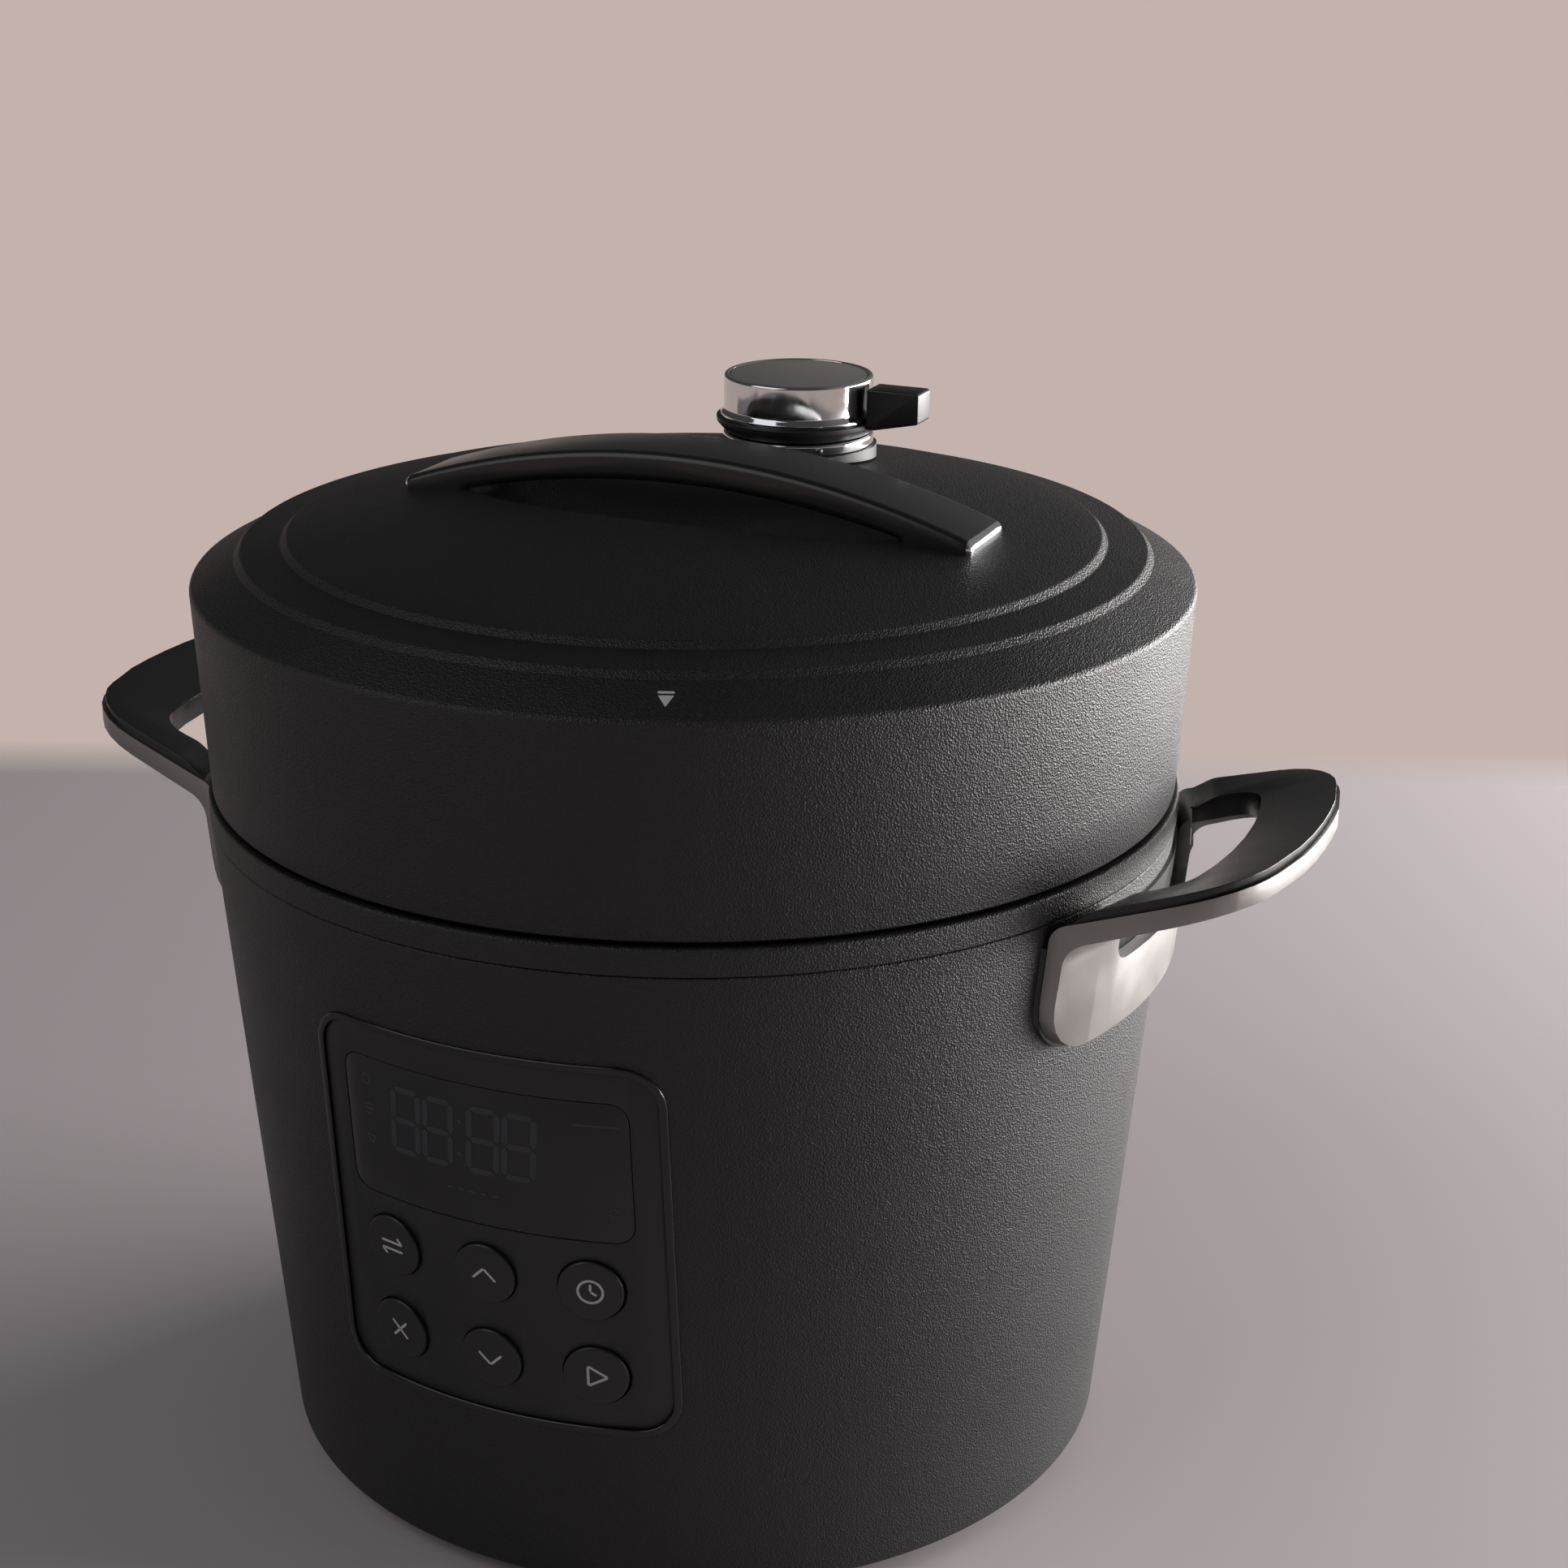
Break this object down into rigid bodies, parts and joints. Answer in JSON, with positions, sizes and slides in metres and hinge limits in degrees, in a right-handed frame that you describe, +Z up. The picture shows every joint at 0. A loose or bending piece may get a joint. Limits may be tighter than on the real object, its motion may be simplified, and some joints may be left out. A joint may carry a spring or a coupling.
{
  "type": "electric pressure cooker",
  "caption": "Round black electric pressure cooker with a deep twist-off lid, arched lid handle, turning pressure valve, side loop handles and a curved control panel.",
  "frame": {"origin": "middle of the circle of feet, on the surface it stands on", "axes": "+Z up, control panel faces -Y, side handles on +X and -X, pressure valve towards +Y"},
  "size_m": [0.288, 0.2198, 0.236],
  "materials": {
    "black_grained_plastic": "fine leather grain, matt",
    "black_plastic": "fine matt",
    "satin_black_plastic": "satin",
    "gloss_black_trim": "gloss",
    "smoked_window": "smoked, satin",
    "lcd": "glass faced module",
    "button_plastic": "satin",
    "satin_steel": "satin, blasted",
    "bright_chrome": "bright plated",
    "satin_disc": "satin",
    "pressed_steel": "pressed stainless sheet",
    "plated_steel": "zinc plated",
    "nonstick_coating": "speckled non-stick",
    "cast_aluminium": "cast, machined face",
    "black_rubber": "matt",
    "silicone": "translucent satin",
    "circuit_board": "solder mask",
    "component_plastic": "moulded"
  },
  "bodies": {
    "base": {"body_housing": "black_grained_plastic", "upper_collar": "black_grained_plastic", "bottom_cover": "black_plastic", "rubber_feet": "black_rubber", "base_screws": "plated_steel", "outer_pot": "pressed_steel", "lock_ring": "pressed_steel", "ring_screws": "plated_steel", "heating_plate": "cast_aluminium", "heating_element": "cast_aluminium", "plate_posts": "plated_steel", "sensor_holder": "plated_steel", "sensor_spring": "plated_steel", "thermal_fuse": "component_plastic", "power_board": "circuit_board", "power_relay": "component_plastic", "filter_capacitor": "component_plastic", "mains_transformer": "component_plastic", "terminal_block": "component_plastic", "power_inlet": "black_plastic", "inlet_pins": "plated_steel", "panel_bezel": "gloss_black_trim", "panel_fascia": "black_plastic", "display_window": "smoked_window", "control_board": "circuit_board", "tact_switches": "component_plastic", "lcd_module": "lcd", "right_handle_bracket": "satin_steel", "right_handle_grip": "satin_black_plastic", "right_handle_pad": "satin_black_plastic", "left_handle_bracket": "satin_steel", "left_handle_grip": "satin_black_plastic", "left_handle_pad": "satin_black_plastic", "handle_screws": "plated_steel"},
    "sensor": {"sensor_cap": "cast_aluminium"},
    "inner_pot": {"inner_pot": "nonstick_coating"},
    "seal": {"seal_ring": "silicone"},
    "lid": {"lid_cover": "black_grained_plastic", "lid_handle": "satin_black_plastic", "handle_end_trims": "bright_chrome", "handle_bolts": "plated_steel", "lid_plate": "pressed_steel", "lid_screws": "plated_steel", "seal_rack": "pressed_steel", "exhaust_pipe": "pressed_steel", "pipe_nut": "pressed_steel", "steam_shield": "pressed_steel", "valve_base": "black_plastic", "valve_ring": "bright_chrome", "float_sleeve": "silicone"},
    "float_pin": {"float_pin": "pressed_steel"},
    "valve": {"valve_collar": "black_plastic", "valve_cap": "bright_chrome", "cap_disc": "satin_disc"},
    "button_mode": {"button_mode": "button_plastic"},
    "button_up": {"button_up": "button_plastic"},
    "button_timer": {"button_timer": "button_plastic"},
    "button_cancel": {"button_cancel": "button_plastic"},
    "button_down": {"button_down": "button_plastic"},
    "button_start": {"button_start": "button_plastic"}
  },
  "joints": [
    {"name": "lid_lift", "type": "slide", "parent": "base", "child": "seal", "axis": [0, 0, 1], "range_m": [0, 0.16]},
    {"name": "lid_twist", "type": "hinge", "parent": "seal", "child": "lid", "pos_m": [0, 0, 0.19], "axis": [0, 0, 1], "range_deg": [-30, 0]},
    {"name": "inner_pot_lift", "type": "slide", "parent": "base", "child": "inner_pot", "axis": [0, 0, 1], "range_m": [0, 0.08]},
    {"name": "valve_turn", "type": "hinge", "parent": "lid", "child": "valve", "pos_m": [0, 0.057, 0.229], "axis": [0, 0, 1], "range_deg": [-40, 0]},
    {"name": "float_pin_rise", "type": "slide", "parent": "lid", "child": "float_pin", "axis": [0, 0, 1], "range_m": [0, 0.0025]},
    {"name": "sensor_press", "type": "slide", "parent": "base", "child": "sensor", "axis": [0, 0, 1], "range_m": [-0.002, 0], "stiffness_N_per_m": 400, "springref_m": 0.002, "deforming": ["sensor_spring"]},
    {"name": "button_mode_press", "type": "slide", "parent": "base", "child": "button_mode", "axis": [0.2244, 0.9708, 0.0847], "range_m": [0, 0.0006], "stiffness_N_per_m": 500},
    {"name": "button_up_press", "type": "slide", "parent": "base", "child": "button_up", "axis": [0, 0.9964, 0.0847], "range_m": [0, 0.0006], "stiffness_N_per_m": 500},
    {"name": "button_timer_press", "type": "slide", "parent": "base", "child": "button_timer", "axis": [-0.2244, 0.9708, 0.0847], "range_m": [0, 0.0006], "stiffness_N_per_m": 500},
    {"name": "button_cancel_press", "type": "slide", "parent": "base", "child": "button_cancel", "axis": [0.2283, 0.9699, 0.0847], "range_m": [0, 0.0006], "stiffness_N_per_m": 500},
    {"name": "button_down_press", "type": "slide", "parent": "base", "child": "button_down", "axis": [0, 0.9964, 0.0847], "range_m": [0, 0.0006], "stiffness_N_per_m": 500},
    {"name": "button_start_press", "type": "slide", "parent": "base", "child": "button_start", "axis": [-0.2283, 0.9699, 0.0847], "range_m": [0, 0.0006], "stiffness_N_per_m": 500}
  ],
  "couplings": [
    {"joint": "inner_pot_lift", "follows": "lid_lift", "ratio": 0.5}
  ]
}
